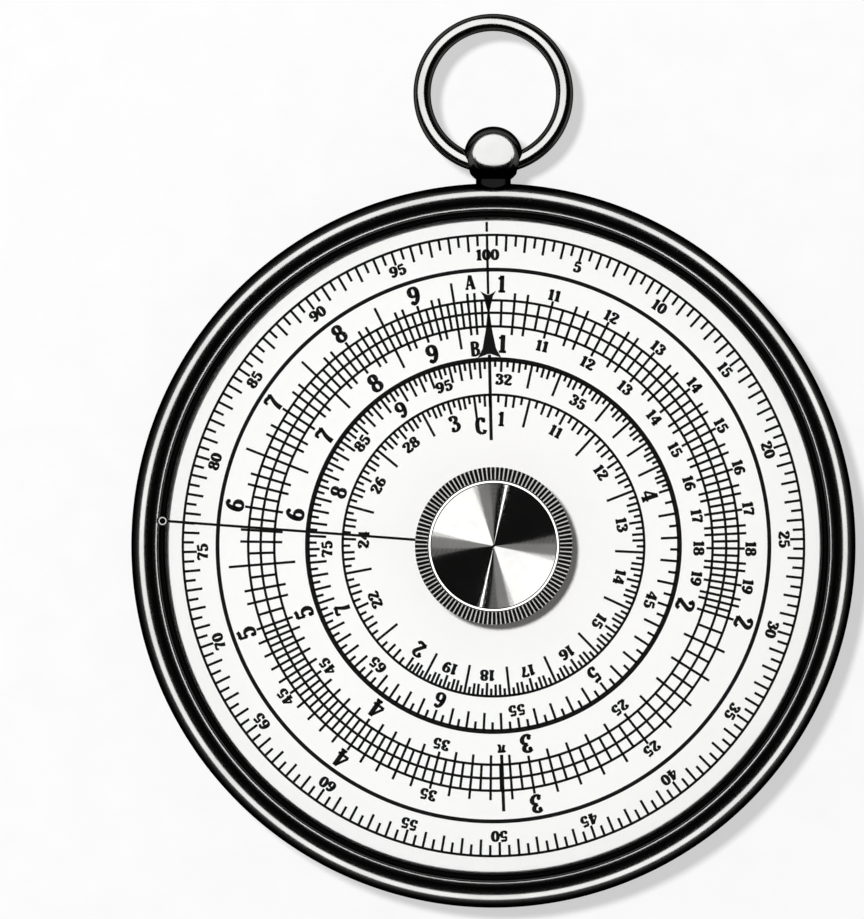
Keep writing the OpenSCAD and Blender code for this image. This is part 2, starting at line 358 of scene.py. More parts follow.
def lathe_bright(name, bright, dull, smooth, worn):
    """Metal left bright from a sharp lathe tool, with faint clouds of tarnish, and painted shade where the
    mesh's attribute for it says so.
    """
    finish, tree, shader = new_finish(name)
    shader.inputs["Metallic"].default_value = 1
    clouds = noise(tree, size=3, detail=4)
    bare = between(tree, spread(tree, clouds, 0, 1), bright, dull)
    grimy(tree, shader, bare, spread(tree, clouds, smooth, worn), GROOVE_SHADE_ROUGH)
    return finish


def turned_metal(name, bright, dull, smooth, worn, pitch):
    """Lathe-turned metal with fine rings about the dial axis."""
    finish, tree, shader = new_finish(name)
    shader.inputs["Metallic"].default_value = 1
    rings = add_node(
        tree,
        "ShaderNodeTexWave",
        {"Scale": 1 / (pitch * MM) / math.tau, "Distortion": 0.4, "Detail": 2},
        wave_type="RINGS",
        rings_direction="Z",
    )
    tree.links.new(object_place(tree), rings.inputs["Vector"])
    clouds = noise(tree, size=3, detail=4)
    tree.links.new(between(tree, spread(tree, clouds, 0, 1), bright, dull), shader.inputs["Base Color"])
    polish = spread(tree, rings.outputs["Fac"], smooth, worn, start=0, stop=1)
    tree.links.new(polish, shader.inputs["Roughness"])
    relief(tree, shader, rings.outputs["Fac"], strength=0.12, depth=0.01)
    return finish


def paper_card():
    """Smooth pale card with fine fibres and a trace of age."""
    finish, tree, shader = new_finish("dial card")
    dull, bright, yellowed = (0.94, 0.938, 0.928), (0.97, 0.968, 0.96), (0.93, 0.918, 0.89, 1)
    fibres = noise(tree, size=0.16, detail=6, roughness=0.7)
    age = noise(tree, size=14, detail=3)
    fresh = between(tree, spread(tree, fibres, 0, 1), dull, bright)
    blend = add_node(tree, "ShaderNodeMix", {"B": yellowed}, data_type="RGBA")
    tree.links.new(fresh, blend.inputs["A"])
    tree.links.new(spread(tree, age, low=0, high=0.35, start=0.45, stop=0.75), blend.inputs["Factor"])
    tree.links.new(blend.outputs["Result"], shader.inputs["Base Color"])
    tree.links.new(spread(tree, fibres, low=0.62, high=0.78), shader.inputs["Roughness"])
    shader.inputs["Specular IOR Level"].default_value = 0.3
    relief(tree, shader, fibres, strength=0.15, depth=0.01)
    return finish


def printing_ink():
    """Letterpress black, a little thinner where the card's fibres show."""
    finish, tree, shader = new_finish("printing ink")
    full, thinned = (0.003, 0.003, 0.0032), (0.013, 0.0128, 0.0125)
    grain = noise(tree, size=0.09, detail=4, roughness=0.6)
    tone = between(tree, spread(tree, grain, 0, 1, start=0.35, stop=0.8), full, thinned)
    tree.links.new(tone, shader.inputs["Base Color"])
    tree.links.new(spread(tree, grain, low=0.5, high=0.7), shader.inputs["Roughness"])
    shader.inputs["Specular IOR Level"].default_value = 0.1
    relief(tree, shader, grain, strength=0.1, depth=0.004)
    return finish


def clear_crystal():
    """Thin clear glass that lets the lamps reach the dial behind it."""
    finish, tree, shader = new_finish("clear crystal")
    greenish, clear = (0.985, 0.992, 0.988), (1, 1, 1)
    drawn = noise(tree, size=9, detail=2)
    tint = between(tree, spread(tree, drawn, 0, 1), greenish, clear)
    tree.links.new(tint, shader.inputs["Base Color"])
    shader.inputs["Roughness"].default_value = 0
    shader.inputs["IOR"].default_value = 1.5
    shader.inputs["Transmission Weight"].default_value = 1
    relief(tree, shader, drawn, strength=0.02, depth=0.02)
    path = add_node(tree, "ShaderNodeLightPath")
    surface = shader.outputs["BSDF"]
    for ray in ("Is Shadow Ray", "Is Diffuse Ray"):
        mix = add_node(tree, "ShaderNodeMixShader")
        tree.links.new(path.outputs[ray], mix.inputs["Fac"])
        tree.links.new(surface, mix.inputs[1])
        tree.links.new(add_node(tree, "ShaderNodeBsdfTransparent").outputs["BSDF"], mix.inputs[2])
        surface = mix.outputs["Shader"]
    tree.links.new(surface, tree.nodes["Material Output"].inputs["Surface"])
    return finish


def pressed_felt():
    """Dark red felt with short loose fibres."""
    finish, tree, shader = new_finish("pressed felt")
    deep, bright = (0.2, 0.04, 0.04), (0.42, 0.12, 0.11)
    fibres = noise(tree, size=0.08, detail=6, roughness=0.75)
    tree.links.new(between(tree, spread(tree, fibres, 0, 1), deep, bright), shader.inputs["Base Color"])
    shader.inputs["Roughness"].default_value = 0.95
    shader.inputs["Sheen Weight"].default_value = 0.4
    relief(tree, shader, fibres, strength=0.6, depth=0.05)
    return finish


NICKEL = polished_metal(
    "dark nickel", bright=(0.07, 0.0697, 0.0685), dull=(0.057, 0.0567, 0.0557), smooth=0.1, worn=0.16
)
TURNED_NICKEL = lathe_bright(
    "turned nickel", bright=(0.15, 0.149, 0.145), dull=(0.12, 0.119, 0.116), smooth=0.03, worn=0.045
)
STEEL = turned_metal(
    "spring steel", bright=(0.5, 0.51, 0.53), dull=(0.4, 0.41, 0.43), smooth=0.25, worn=0.4, pitch=0.08
)
BRASS = turned_metal(
    "turned brass", bright=(0.72, 0.55, 0.26), dull=(0.55, 0.4, 0.18), smooth=0.22, worn=0.4, pitch=0.1
)
CARD = paper_card()
INK = printing_ink()
CRYSTAL = clear_crystal()
FELT = pressed_felt()


# Turned metal pieces

BORE_R = BEZEL_R + RUN_FIT
SNAP_MID_R = BEZEL_R + RUN_FIT / 2
SNAP_Z = (SKIRT_Z + GLASS_Z) / 2
BEZEL_IN_R = BEZEL_R - BEZEL_W
BEZEL_MID_R = BEZEL_R - BEZEL_W / 2
ROUND_STEPS = 384


def half_width(radius, offset):
    return math.sqrt(radius**2 - offset**2)


def ramp(value, start, stop):
    """0 before start, 1 past stop, and evenly between them."""
    return min(max((value - start) / (stop - start), 0), 1)


def flank_points():
    """The band's rounded flank, from the land beside the bezel out to the flat round the case."""
    land, edge = Vector((BORE_R + FLANK_LAND, LAND_Z)), Vector((CASE_R, BAND_FLAT / 2))
    chord = edge - land
    inward = Vector((chord.y, -chord.x)).normalized()
    centre = (land + edge) / 2 + inward * half_width(FLANK_ROUND, chord.length / 2)
    angles = [math.degrees(math.atan2(p.y - centre.y, p.x - centre.x)) for p in (land, edge)]
    return arc(centre, FLANK_ROUND, angles[0], angles[1], count=28)


def snap_groove(wall_r, groove_r, bulge):
    """The groove for a snap ring in a wall, from its foot up; bulge is 1 outwards and -1 inwards."""
    start = math.degrees(math.asin(half_width(groove_r, SNAP_MID_R - wall_r) / groove_r))
    if bulge > 0:
        return arc((SNAP_MID_R, SNAP_Z), groove_r, -start, start, count=8)
    return arc((SNAP_MID_R, SNAP_Z), groove_r, 180 + start, 180 - start, count=8)


def mirrored(points):
    return [(r, -z) for r, z in reversed(points)]


def case_band():
    """The polished body of the case: two rounded flanks, the bore, and the seat of the pendant."""
    groove = snap_groove(BORE_R, SNAP_WIRE_R + SEAT_FIT, bulge=1)
    shoulder_r = BEZEL_IN_R + RUN_FIT
    front_half = [(BORE_R, -PLATE_Z), *groove, (BORE_R, LAND_Z), *flank_points()]
    back_half = [*mirrored(flank_points()), (BORE_R, -LAND_Z), *mirrored(groove)]
    ledge = [(BORE_R, -SHOULDER_Z), (shoulder_r, -SHOULDER_Z), (shoulder_r, -PLATE_Z)]
    band = turned(front_half + back_half + ledge, ROUND_STEPS)
    seat = Matrix.Translation((0, CASE_R, 0)) @ Matrix.Rotation(math.pi / 2, 4, "X")
    band = bored(band, rod(NECK_R + SEAT_FIT, 2 * SEAT_DEPTH, seat))
    # Painted shade on the outer flank: dark from past the ring lamp's highlight to near the flat round the
    # case, where the metal would mirror the pale floor.
    painted_shade = band.verts.layers.float.new("painted_shade")
    for vert in band.verts:
        reach = vert.co.xy.length
        past_light = ramp(reach, FLANK_SHADE_FROM, FLANK_SHADE_FULL)
        short_of_flat = ramp(reach, CASE_R, CASE_R - FLANK_SHADE_FADE)
        vert[painted_shade] = FLANK_PAINTED_SHADE * past_light * short_of_flat
    return place_piece("case_band_polished", band, FRONT, "case", NICKEL, ["case_band"])


def bezel(side):
    """A ring with a half-round bead, and a skirt that goes down round the glass."""
    groove = snap_groove(BEZEL_R, SNAP_WIRE_R + SNAP_FIT, bulge=-1)
    bead_z = BEZEL_Z - BEZEL_W / 2
    bead = arc((BEZEL_MID_R, bead_z), BEZEL_W / 2, 0, 180, count=24)
    skirt_r = GLASS_R + SEAT_FIT
    lip = [(BEZEL_IN_R, GLASS_Z), (skirt_r, GLASS_Z), (skirt_r, SKIRT_Z)]
    ring = turned([(BEZEL_R, SKIRT_Z), *groove, *bead, *lip], ROUND_STEPS)
    name, body = f"{side}_bezel", f"{side}_cursor"
    return place_piece(f"{name}_polished", ring, SIDES[side], body, NICKEL, [name])


def nib(side):
    """A small domed stud that straddles the bezel's bead."""
    node = f"{side}_nib"
    height = top_of("front_nib")
    foot = BEZEL_Z - BEZEL_W / 2
    edge = [(0, foot), (NIB_R - NIB_FOOT_IN, foot), (NIB_R, foot + NIB_FOOT_RISE)]
    dome = arc((0, height - NIB_R), NIB_R, 0, 90, count=10)
    stud = turned([*edge, *dome[:-1], (0, height)], steps=48)
    centre = centre_of(node)
    spot = Matrix.Translation((centre.x if side == "front" else -centre.x, centre.y, 0))
    place = SIDES[side] @ spot
    return place_piece(f"{node}_domed", stud, place, f"{side}_cursor", NICKEL, [node])


def turned_rings(inner, outer):
    """The shallow rings that a lathe left on a face, from the outside in."""
    pitch = (outer - inner) / FACE_RINGS
    depth = pitch / 2 * math.tan(FACE_RING_SLOPE)
    points = []
    for i in range(FACE_RINGS):
        points += [(outer - i * pitch, FACE_Z), (outer - (i + 0.5) * pitch, FACE_Z - depth)]
    return points


def knob(side):
    """A flat knob with a turned face, a bright rim round it and a bevel milled with fine grooves."""
    steps_each, sunk_steps = 4, 2
    bevel_foot = KNOB_Z + KNOB_EDGE
    mill_in_r = KNOB_R - BEVEL_W + RIM_GROOVE_W
    rim_r = mill_in_r - RIM_GROOVE_W
    rim_in_r = rim_r - RIM_W
    face_r = rim_in_r - FACE_GROOVE_W
    mill_top = FACE_Z - RIM_W * math.tan(RIM_SLOPE)
    chamfer = KNOB_EDGE / 3
    hole_r, hole_top = STUD_R + SEAT_FIT, HUB_Z + SEAT_FIT
    outline = [
        (hole_r, KNOB_Z),
        (KNOB_R - chamfer, KNOB_Z),
        (KNOB_R, KNOB_Z + chamfer),
        (KNOB_R, bevel_foot),
        (mill_in_r, mill_top),
        (mill_in_r, FACE_Z - RIM_GROOVE_T),
        (rim_r, FACE_Z - RIM_GROOVE_T),
        (rim_r, mill_top),
        (rim_in_r, FACE_Z),
        (rim_in_r, FACE_Z - FACE_GROOVE_T),
        (face_r, FACE_Z - FACE_GROOVE_T),
        *turned_rings(FACE_TIP_R, face_r),
        (FACE_TIP_R, FACE_Z),
        (0, FACE_Z),
        (0, hole_top),
        (hole_r, hole_top),
    ]
    bm = turned(outline, KNURL_COUNT * steps_each)
    painted_shade = bm.verts.layers.float.new("painted_shade")
    turn = math.tau / (KNURL_COUNT * steps_each)
    slack = RIM_GROOVE_W / 2
    bevel = [v for v in bm.verts if v.co.xy.length > mill_in_r - slack and v.co.z > bevel_foot - slack]
    sunk = [
        v
        for v in bevel
        if (v.co.z > mill_top - slack or v.co.xy.length > KNOB_R - slack)
        and round(math.atan2(v.co.y, v.co.x) / turn) % steps_each < sunk_steps
    ]
    # Painted shade: the bevel's lands take part of it, and the milled grooves, sunk below them, all of it.
    for vert in bevel:
        vert[painted_shade] = LAND_PAINTED_SHADE
    for vert in sunk:
        vert[painted_shade] = 1
    drop = KNURL_T * math.hypot(1, (mill_top - bevel_foot) / (KNOB_R - mill_in_r))
    bmesh.ops.translate(bm, verts=sunk, vec=(0, 0, -drop))
    name, crease = f"{side}_knob", math.degrees(FACE_RING_SLOPE / 2)
    return place_piece(
        f"{name}_milled", bm, SIDES[side], "revolving_dial", TURNED_NICKEL, [name], crease
    )


def pendant():
    """Ball, neck and stem in one turned piece, drilled across for the bow."""
    seat_y = CASE_R - SEAT_DEPTH
    neck_angle = math.degrees(math.acos(NECK_R / BALL_R))
    ball = arc((0, BALL_Y), BALL_R, 90, -neck_angle, count=40)
    stem = [(NECK_R, seat_y), (STEM_R, seat_y), (STEM_R, STEM_Y), (0, STEM_Y)]
    bm = turned([(0, BALL_Y + BALL_R), *ball[1:], *stem], steps=128)
    bmesh.ops.rotate(bm, verts=bm.verts, cent=(0, 0, 0), matrix=Matrix.Rotation(-math.pi / 2, 3, "X"))
    across = Matrix.Translation((0, BOW_HOLE_Y, 0)) @ Matrix.Rotation(math.pi / 2, 4, "Y")
    bm = bored(bm, rod(BOW_HOLE_R, 4 * BALL_R, across))
    # Painted shade: the ball darkens towards the case, and the neck and stem are dark throughout.
    painted_shade = bm.verts.layers.float.new("painted_shade")
    for vert in bm.verts:
        vert[painted_shade] = ramp((BALL_Y - vert.co.y) / BALL_R, BALL_SHADE_FROM, BALL_SHADE_FULL)
    return place_piece("pendant_ball", bm, FRONT, "case", NICKEL, ["pendant"])


def bow_ring():
    """A plain ring of round wire."""
    wire = arc((BOW_R - BOW_WIRE_R, 0), BOW_WIRE_R, 0, 360, count=40)[:-1]
    ring = turned(wire, steps=192)
    place = FRONT @ Matrix.Translation((0, BOW_Y, 0))
    return place_piece("bow_ring_wire", ring, place, "bow", NICKEL, ["bow_ring"])


# Figures of the print, drawn 1 high with a broad pen: thick down strokes, thin cross strokes

PEN_CONTRAST = 1.6
PEN_NUDGE = 0.01
DOT_SHARE = 0.9
SWELL_START, SWELL_GAIN = 0.1, 1.1


def along(points, t):
    """The point at t, from 0 to 1, on a smooth curve through the points."""
    spans = len(points) - 1
    span = min(int(t * spans), spans - 1)
    u = t * spans - span
    if spans == 1:
        return Vector(points[0]).lerp(Vector(points[1]), u)
    closed = points[0] == points[-1]
    before = points[span - 1] if span else points[-2 if closed else 0]
    after = points[span + 2] if span + 2 <= spans else points[1 if closed else -1]
    p0, p1, p2, p3 = (Vector(p) for p in (before, points[span], points[span + 1], after))
    bend = 2 * p0 - 5 * p1 + 4 * p2 - p3
    twist = 3 * p1 - p0 - 3 * p2 + p3
    return (2 * p1 + (p2 - p0) * u + bend * u**2 + twist * u**3) / 2


def pen_stroke(bm, points, weight, pen):
    """One flat stroke; its weight runs from 0 for the pen's thin edge to 1 for its broad one."""
    spans = len(points) - 1
    steps = spans * 2 if spans > 1 else 1
    for vert in bmesh.ops.create_grid(bm, x_segments=steps, y_segments=1, size=1)["verts"]:
        t = (vert.co.x + 1) / 2
        run = along(points, min(t + PEN_NUDGE, 1)) - along(points, max(t - PEN_NUDGE, 0))
        run.normalize()
        half = pen[0] + (pen[1] - pen[0]) * weight(abs(run.y), t)
        side = Vector((-run.y, run.x)) * (half * vert.co.y)
        vert.co.xy = along(points, t) + side


def pen_dot(bm, centre, pen):
    """A round dot, a little narrower than the pen's broad edge."""
    place = Matrix.Translation((*centre, 0))
    bmesh.ops.create_circle(bm, cap_ends=True, segments=10, radius=pen[1] * DOT_SHARE, matrix=place)


def thin(*points):
    return (points, lambda rise, t: 0)


def thick(*points):
    return (points, lambda rise, t: 1)


def middling(*points):
    return (points, lambda rise, t: 0.5)


def swelling(*points):
    return (points, lambda rise, t: SWELL_START + SWELL_GAIN * t)


def free(*points):
    """Broad on the way up and down, thin across."""
    return (points, lambda rise, t: rise**PEN_CONTRAST)


def dot(*centre):
    return ((centre,), None)


def oval(x, y, across, up):
    """A closed loop of the free pen."""
    turns = [math.tau * i / 8 for i in range(8)]
    loop = [(x + across * math.cos(a), y + up * math.sin(a)) for a in turns]
    return free(*loop, loop[0])


def upside_down(strokes, wide):
    return [([(wide - x, 1 - y) for x, y in points], weight) for points, weight in strokes]


FIGURE_W = 0.68
SIX = [
    oval(0.34, 0.3, 0.21, 0.245),
    free((0.13, 0.3), (0.15, 0.54), (0.24, 0.78), (0.37, 0.91), (0.5, 0.94)),
    dot(0.5, 0.85),
]

# Each figure's width and strokes
FIGURES = {
    "0": (FIGURE_W, [oval(0.34, 0.5, 0.22, 0.44)]),
    "1": (
        0.52,
        [
            thick((0.28, 0.0), (0.28, 1.0)),
            thin((0.08, 0.06), (0.48, 0.06)),
            thin((0.06, 0.8), (0.2, 0.86), (0.29, 0.95)),
        ],
    ),
    "2": (
        FIGURE_W,
        [
            dot(0.17, 0.74),
            free(
                (0.1, 0.73), (0.15, 0.88), (0.33, 0.94), (0.5, 0.85),
                (0.51, 0.68), (0.36, 0.45), (0.09, 0.1),
            ),
            middling((0.07, 0.09), (0.21, 0.12), (0.39, 0.07), (0.53, 0.08), (0.6, 0.22)),
        ],
    ),
    "3": (
        FIGURE_W,
        [
            dot(0.17, 0.79),
            free((0.11, 0.81), (0.19, 0.92), (0.34, 0.94), (0.49, 0.84), (0.47, 0.66), (0.27, 0.54)),
            free((0.27, 0.54), (0.5, 0.46), (0.54, 0.24), (0.37, 0.06), (0.19, 0.07), (0.1, 0.18)),
            dot(0.17, 0.21),
        ],
    ),
    "4": (
        0.72,
        [
            thin((0.44, 0.97), (0.05, 0.3)),
            thin((0.03, 0.29), (0.68, 0.29)),
            thick((0.47, 0.0), (0.47, 1.0)),
            thin((0.29, 0.05), (0.65, 0.05)),
        ],
    ),
    "5": (
        FIGURE_W,
        [
            middling((0.15, 0.92), (0.31, 0.9), (0.45, 0.92), (0.55, 0.97)),
            thin((0.16, 0.95), (0.14, 0.52)),
            free(
                (0.13, 0.53), (0.29, 0.61), (0.47, 0.55), (0.54, 0.32),
                (0.43, 0.1), (0.25, 0.06), (0.11, 0.16),
            ),
            dot(0.17, 0.2),
        ],
    ),
    "6": (FIGURE_W, SIX),
    "7": (
        0.64,
        [
            middling((0.07, 0.9), (0.22, 0.93), (0.38, 0.88), (0.57, 0.92)),
            thin((0.07, 0.97), (0.06, 0.72)),
            swelling((0.57, 0.93), (0.43, 0.66), (0.32, 0.36), (0.29, 0.02)),
        ],
    ),
    "8": (FIGURE_W, [oval(0.34, 0.735, 0.18, 0.205), oval(0.34, 0.28, 0.215, 0.225)]),
    "9": (FIGURE_W, upside_down(SIX, FIGURE_W)),
    "A": (
        0.7,
        [
            thin((0.33, 0.98), (0.1, 0.03)),
            thick((0.36, 0.95), (0.56, 0.03)),
            thin((0.16, 0.3), (0.5, 0.3)),
            thin((0.0, 0.045), (0.22, 0.045)),
            thin((0.42, 0.045), (0.7, 0.045)),
        ],
    ),
    "B": (
        0.66,
        [
            thick((0.16, 0.0), (0.16, 1.0)),
            free((0.1, 0.95), (0.32, 0.95), (0.48, 0.86), (0.48, 0.64), (0.32, 0.54), (0.16, 0.53)),
            free((0.16, 0.53), (0.34, 0.52), (0.52, 0.4), (0.52, 0.18), (0.34, 0.05), (0.1, 0.05)),
        ],
    ),
    "C": (
        0.64,
        [
            free(
                (0.53, 0.74), (0.47, 0.88), (0.33, 0.95), (0.16, 0.8),
                (0.13, 0.5), (0.16, 0.2), (0.34, 0.05),
            ),
            free((0.34, 0.05), (0.5, 0.1), (0.55, 0.26)),
            thin((0.55, 0.97), (0.54, 0.68)),
        ],
    ),
    "π": (
        0.7,
        [
            middling((0.03, 0.56), (0.14, 0.64), (0.66, 0.64)),
            middling((0.22, 0.62), (0.2, 0.3), (0.12, 0.03)),
            middling((0.47, 0.62), (0.46, 0.2), (0.52, 0.06), (0.64, 0.1)),
        ],
    ),
}


def raised(bm):
    """Gives flat faces the thickness of the ink."""
    grown = bmesh.ops.extrude_face_region(bm, geom=bm.faces[:])
    tops = [g for g in grown["geom"] if isinstance(g, bmesh.types.BMVert)]
    bmesh.ops.translate(bm, verts=tops, vec=(0, 0, 1))
    bmesh.ops.recalc_face_normals(bm, faces=bm.faces)


def cast_figure(character, pen, stretch):
    """A figure 1 high and 1 thick, as a mesh to be copied."""
    bm = bmesh.new()
    for points, weight in FIGURES[character][1]:
        if weight:
            pen_stroke(bm, points, weight, pen)
        else:
            pen_dot(bm, points[0], pen)
    bmesh.ops.remove_doubles(bm, verts=bm.verts, dist=FIGURE_MERGE)
    bm.transform(Matrix.Diagonal((stretch, 1, 1, 1)))
    raised(bm)
    mesh = bpy.data.meshes.new("figure")
    bm.to_mesh(mesh)
    bm.free()
    return mesh


class TypeCase:
    """Figures cast with one pen, given as the half widths of its thin and broad edges."""

    def __init__(self, pen, stretch):
        self.stretch = stretch
        self.cast = {character: cast_figure(character, pen, stretch) for character in FIGURES}

    def width(self, character):
        return FIGURES[character][0] * self.stretch


SMALL_TYPE = TypeCase(pen=(0.086, 0.148), stretch=1.15)
LARGE_TYPE = TypeCase(pen=(0.072, 0.13), stretch=1)


# Laying out the print: a share of a turn runs clockwise from the index

AT_INDEX = 0
INWARDS, OUTWARDS = 1, -1

# Numbers of the scales, in tenths
LOG_TENTHS = [*range(11, 20), *range(20, 50, 5), *range(50, 100, 10)]
HIGH_ROOT_TENTHS = range(35, 100, 5)
LOW_ROOT_TENTHS = [*range(11, 20), *range(20, 31, 2)]


def spoke(share, radius):
    """The place at this share of a turn and radius, with +Y pointing outwards."""
    return Matrix.Rotation(PRINT_TURN - share * math.tau, 4, "Z") @ Matrix.Translation((0, radius, 0))


def tick(bm, share, start, stop, width=LINE_W):
    """A short line along a spoke, between two radii."""
    lift = Matrix.Translation((0, 0, CARD_Z - INK_SUNK + INK_T / 2))
    size = Matrix.Diagonal((width, abs(stop - start), INK_T, 1))
    bmesh.ops.create_cube(bm, size=1, matrix=lift @ spoke(share, (start + stop) / 2) @ size)


def ring_line(bm, radius, width=LINE_W):
    """A line round the dial."""
    foot = CARD_Z - INK_SUNK
    inner, outer = radius - width / 2, radius + width / 2
    line = turned([(inner, foot), (outer, foot), (outer, foot + INK_T), (inner, foot + INK_T)], steps=360)
    mesh = bpy.data.meshes.new("ring line")
    line.to_mesh(mesh)
    line.free()
    bm.from_mesh(mesh)
    bpy.data.meshes.remove(mesh)


def figure(bm, text, share, radius, height):
    """Sets a number or a letter upright on its spoke, centred at this radius."""
    case = SMALL_TYPE if height == SMALL_FIGURE else LARGE_TYPE
    start = -sum(case.width(character) for character in text) / 2
    base = Matrix.Translation((0, 0, CARD_Z - INK_SUNK)) @ spoke(share, radius)
    size = Matrix.Diagonal((height, height, INK_T, 1))
    for character in text:
        copy = case.cast[character].copy()
        copy.transform(base @ size @ Matrix.Translation((start, -0.5, 0)))
        bm.from_mesh(copy)
        bpy.data.meshes.remove(copy)
        start += case.width(character)


def flat_shape(bm, corners, share):
    """A flat inked shape with these (sideways, radius) corners."""
    shape = bmesh.new()
    shape.faces.new([shape.verts.new((x, y, 0)) for x, y in corners])
    raised(shape)
    lift = Matrix.Translation((0, 0, CARD_Z - INK_SUNK))
    shape.transform(lift @ spoke(share, 0) @ Matrix.Diagonal((1, 1, INK_T, 1)))
    mesh = bpy.data.meshes.new("flat shape")
    shape.to_mesh(mesh)
    shape.free()
    bm.from_mesh(mesh)
    bpy.data.meshes.remove(mesh)


def graduate(bm, spans, share_of, base, inward, numbered, at_number):
    """Ticks along a scale. A span is its first and last value, its step, and the tick lengths in turn."""
    slack = 1e-6
    for first, last, step, lengths in spans:
        for count in range(math.ceil(first / step - slack), math.ceil(last / step - slack)):
            tenth = count * step * 10
            is_numbered = abs(tenth - round(tenth)) < slack and round(tenth) in numbered
            length = at_number if is_numbered else lengths[count % len(lengths)]
            tick(bm, share_of(count * step), base, base - inward * length)


def number_scale(bm, tenths, share_of, small_r, large_r, large):
    """Numbers along a scale, given in tenths: whole ones large, the rest small and without a point."""
    for value in tenths:
        if value % 10:
            figure(bm, str(value), share_of(value / 10), small_r, SMALL_FIGURE)
        else:
            figure(bm, str(value // 10), share_of(value / 10), large_r, large)


def log_share(value):
    return math.log10(value)


def root_share(power, lap):
    """A function from a value to its share of a turn, on one lap of a scale of roots."""
    return lambda value: power * math.log10(value) - lap


def log_scale(bm, grid_r, edge_r, inward, pi_past):
    """A logarithmic scale: a narrow grid along the dial's edge, with ticks past the grid's circle."""
    cell = abs(edge_r - grid_r)
    at_number, close, wide, long = cell + 0.57, cell + 0.73, cell + 0.86, cell + 1.86
    spans = [
        (1, 2, 0.02, [cell, cell, close, close, cell]),
        (2, 5, 0.05, [wide, cell]),
        (5, 10, 0.1, [long, cell, close, close, cell]),
    ]
    graduate(bm, spans, log_share, edge_r, inward, LOG_TENTHS, at_number)
    tick(bm, log_share(math.pi), edge_r, edge_r - inward * (cell + pi_past), INDEX_W)
    ring_line(bm, grid_r)


def equal_parts(bm):
    """The scale of equal parts along the fixed dial's edge."""
    parts, step, number_step = 100, 0.5, 5
    whole, half, at_number = 1.5, 1.0, 1.28
    numbers = range(number_step, parts + 1, number_step)
    numbered = [10 * value for value in numbers]
    spans = [(step, parts, step, [whole, half])]
    graduate(bm, spans, lambda value: value / parts, EQUAL_PARTS_R, INWARDS, numbered, at_number)
    ring_line(bm, EQUAL_PARTS_R)
    for value in numbers:
        figure(bm, str(value), value / parts, EQUAL_FIGURE_R, SMALL_FIGURE)


def letters(bm, letter, left, left_r, right, right_r, one_high, letter_high=LETTER):
    """A scale's letter to the left of its index line, and the scale's 1 to the right of it, in degrees."""
    figure(bm, letter, -left / 360, left_r, letter_high)
    figure(bm, "1", right / 360, right_r, one_high)


def both_sides(half):
    """Corners on the right, and the same on the left in reverse."""
    return half + [(-x, y) for x, y in reversed(half)]


def fixed_print(bm):
    """Equal parts, the outer logarithmic scale, and an index line with an arrowhead that points inwards."""
    equal_parts(bm)
    ring_line(bm, FIXED_RING_R, FIXED_RING_W)
    edge = REVOLVING_R + DIAL_GAP
    log_scale(bm, FIXED_GRID_R, edge, OUTWARDS, pi_past=1.9)
    # The circle at the fixed card's inner edge reaches in across the gap between the cards: print on the
    # card, and painted shade over the gap.
    ring_line(bm, edge - EDGE_LINE_OVER)
    number_scale(bm, LOG_TENTHS, log_share, FIXED_SMALL_R, FIXED_LARGE_R, LARGE_FIGURE)
    letters(bm, "A", left=3.9, left_r=24.1, right=3.0, right_r=23.84, one_high=1.55)
    tick(bm, AT_INDEX, OUTER_MARK_START_R, OUTER_MARK_END_R)
    tick(bm, AT_INDEX, EQUAL_PARTS_R, FIXED_INDEX_END_R)
    point, side, barb, notch = (0.08, edge), (0.42, 22.7), (0.73, 23.2), (0.1, 22.85)
    flat_shape(bm, both_sides([point, side, barb, notch]), AT_INDEX)


def revolving_index(bm, inner):
    """The big arrowhead at the edge of the revolving dial and the line that carries it inwards."""
    tick(bm, AT_INDEX, REVOLVING_INDEX_START_R, inner, INDEX_W)
    point, notch = (0.12, REVOLVING_R), (0.15, 17.45)
    side, flare, barb = (0.3, 19.6), (0.62, 17.95), (1.08, 17.1)
    flat_shape(bm, both_sides([point, side, flare, barb, notch]), AT_INDEX)


def high_root_ring(bm):
    """The outer of the two rings for square roots, from the root of 10 to 10."""
    share_of = root_share(2, lap=1)
    short, medium, long, at_number = 0.68, 1.05, 2.32, 1.12
    half, whole = 0.85, 1.69
    spans = [
        (math.sqrt(10), 4, 0.02, [long, short, medium, medium, short]),
        (4, 10, 0.05, [whole, half]),
    ]
    graduate(bm, spans, share_of, HEAVY_RING_R, INWARDS, [32, *HIGH_ROOT_TENTHS], at_number)
    number_scale(bm, HIGH_ROOT_TENTHS, share_of, HIGH_ROOT_SMALL_R, HIGH_ROOT_LARGE_R, ROOT_FIGURE)
    clear_of_index = 1 / 360
    figure(bm, "32", share_of(3.2) + clear_of_index, HIGH_ROOT_SMALL_R, SMALL_FIGURE)


def low_root_ring(bm):
    """The inner of the two rings for square roots, from 1 to the root of 10."""
    share_of = root_share(2, lap=0)
    short, medium, at_number = 0.7, 1.08, 1.22
    half, whole = 2.65, 2.45
    four_between = [short, medium, medium, short]
    spans = [
        (1, 2, 0.01, [at_number, *four_between, half, *four_between]),
        (2, math.sqrt(10), 0.02, [whole, *four_between]),
    ]
    ring_line(bm, ROOT_RING_R)
    graduate(bm, spans, share_of, ROOT_RING_R, INWARDS, LOW_ROOT_TENTHS, at_number)
    number_scale(bm, LOW_ROOT_TENTHS, share_of, LOW_ROOT_SMALL_R, LOW_ROOT_LARGE_R, ROOT_FIGURE)
    letters(
        bm, "C", left=4.9, left_r=10.95, right=4.75, right_r=11.56, one_high=1.32, letter_high=ROOT_LETTER
    )


def square_root_rings(bm):
    """The front's own scale: twice round for square roots, from the inside out."""
    high_root_ring(bm)
    low_root_ring(bm)


